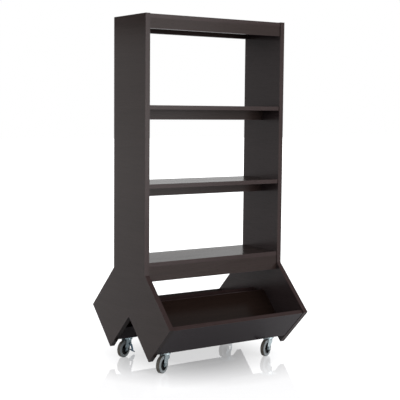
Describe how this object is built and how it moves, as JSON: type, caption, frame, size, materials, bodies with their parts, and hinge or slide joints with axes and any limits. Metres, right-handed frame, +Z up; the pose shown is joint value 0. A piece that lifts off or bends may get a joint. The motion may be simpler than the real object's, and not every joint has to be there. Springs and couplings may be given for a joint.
{
  "type": "mobile double-sided bookcase",
  "caption": "Open two-sided bookcase on swivel casters: a narrow column of shelves over two V-shaped picture-book bins between solid side panels.",
  "frame": {"origin": "on the floor, under the centre of the case", "axes": "+X to the right of someone facing the front, +Y towards the back, +Z up"},
  "size_m": [0.737, 0.668, 1.524],
  "materials": {
    "laminate": "satin dark brown wood-grain laminate on particle board",
    "banding": "satin edge banding in a slightly redder brown",
    "dowel_wood": "plain beech",
    "zinc": "bright zinc plate",
    "bearing_steel": "polished and greased",
    "brake_steel": "bluish zinc plate",
    "black_plastic": "moulded black polypropylene",
    "grey_rubber": "grey non-marking rubber"
  },
  "bodies": {
    "case": {"left_side_panel": "laminate", "right_side_panel": "laminate", "left_panel_edging": "banding", "right_panel_edging": "banding", "top_board": "laminate", "top_front_rail": "laminate", "top_back_rail": "laminate", "upper_shelf": "laminate", "upper_shelf_spine": "laminate", "middle_shelf": "laminate", "middle_shelf_spine": "laminate", "lower_shelf": "laminate", "lower_front_rail": "laminate", "lower_back_rail": "laminate", "front_bin_face": "laminate", "front_bin_floor": "laminate", "back_bin_face": "laminate", "back_bin_floor": "laminate", "front_caster_board": "laminate", "back_caster_board": "laminate", "caster_rails": "laminate", "shelf_edging": "banding", "rail_edging": "banding", "bin_edging": "banding", "dowels": "dowel_wood", "cam_bolts": "zinc", "cam_nuts": "zinc", "caster_screws": "zinc", "front_left_plate": "zinc", "front_left_kingpin": "zinc", "front_right_plate": "zinc", "front_right_kingpin": "zinc", "back_left_plate": "zinc", "back_left_kingpin": "zinc", "back_right_plate": "zinc", "back_right_kingpin": "zinc"},
    "front_left_swivel": {"front_left_fork": "zinc", "front_left_balls": "bearing_steel", "front_left_axle": "zinc"},
    "front_left_wheel": {"front_left_core": "black_plastic", "front_left_tyre": "grey_rubber"},
    "front_right_swivel": {"front_right_fork": "zinc", "front_right_balls": "bearing_steel", "front_right_axle": "zinc"},
    "front_right_wheel": {"front_right_core": "black_plastic", "front_right_tyre": "grey_rubber"},
    "back_left_swivel": {"back_left_fork": "zinc", "back_left_balls": "bearing_steel", "back_left_axle": "zinc", "back_left_brake_rivets": "zinc"},
    "back_left_wheel": {"back_left_core": "black_plastic", "back_left_tyre": "grey_rubber"},
    "back_left_brake": {"back_left_brake_lever": "brake_steel"},
    "back_right_swivel": {"back_right_fork": "zinc", "back_right_balls": "bearing_steel", "back_right_axle": "zinc", "back_right_brake_rivets": "zinc"},
    "back_right_wheel": {"back_right_core": "black_plastic", "back_right_tyre": "grey_rubber"},
    "back_right_brake": {"back_right_brake_lever": "brake_steel"}
  },
  "joints": [
    {"name": "front_left_swivel_turn", "type": "hinge", "parent": "case", "child": "front_left_swivel", "pos_m": [-0.281, -0.16346, 0.0915], "axis": [0, 0, 1], "continuous": true},
    {"name": "front_left_wheel_spin", "type": "hinge", "parent": "front_left_swivel", "child": "front_left_wheel", "pos_m": [-0.30661, -0.17707, 0.0375], "axis": [0.4695, -0.8829, 0], "continuous": true},
    {"name": "front_right_swivel_turn", "type": "hinge", "parent": "case", "child": "front_right_swivel", "pos_m": [0.281, -0.16346, 0.0915], "axis": [0, 0, 1], "continuous": true},
    {"name": "front_right_wheel_spin", "type": "hinge", "parent": "front_right_swivel", "child": "front_right_wheel", "pos_m": [0.25483, -0.17594, 0.0375], "axis": [0.4305, -0.9026, 0], "continuous": true},
    {"name": "back_left_swivel_turn", "type": "hinge", "parent": "case", "child": "back_left_swivel", "pos_m": [-0.281, 0.16346, 0.0915], "axis": [0, 0, 1], "continuous": true},
    {"name": "back_left_wheel_spin", "type": "hinge", "parent": "back_left_swivel", "child": "back_left_wheel", "pos_m": [-0.3076, 0.15189, 0.0375], "axis": [0.3987, -0.9171, 0], "continuous": true},
    {"name": "back_left_brake_release", "type": "hinge", "parent": "back_left_swivel", "child": "back_left_brake", "pos_m": [-0.27917, 0.16425, 0.058], "axis": [0.3987, -0.9171, 0], "range_deg": [0, 14]},
    {"name": "back_right_swivel_turn", "type": "hinge", "parent": "case", "child": "back_right_swivel", "pos_m": [0.281, 0.16346, 0.0915], "axis": [0, 0, 1], "continuous": true},
    {"name": "back_right_wheel_spin", "type": "hinge", "parent": "back_right_swivel", "child": "back_right_wheel", "pos_m": [0.25472, 0.1512, 0.0375], "axis": [0.4226, -0.9063, 0], "continuous": true},
    {"name": "back_right_brake_release", "type": "hinge", "parent": "back_right_swivel", "child": "back_right_brake", "pos_m": [0.28281, 0.1643, 0.058], "axis": [0.4226, -0.9063, 0], "range_deg": [0, 14]}
  ]
}
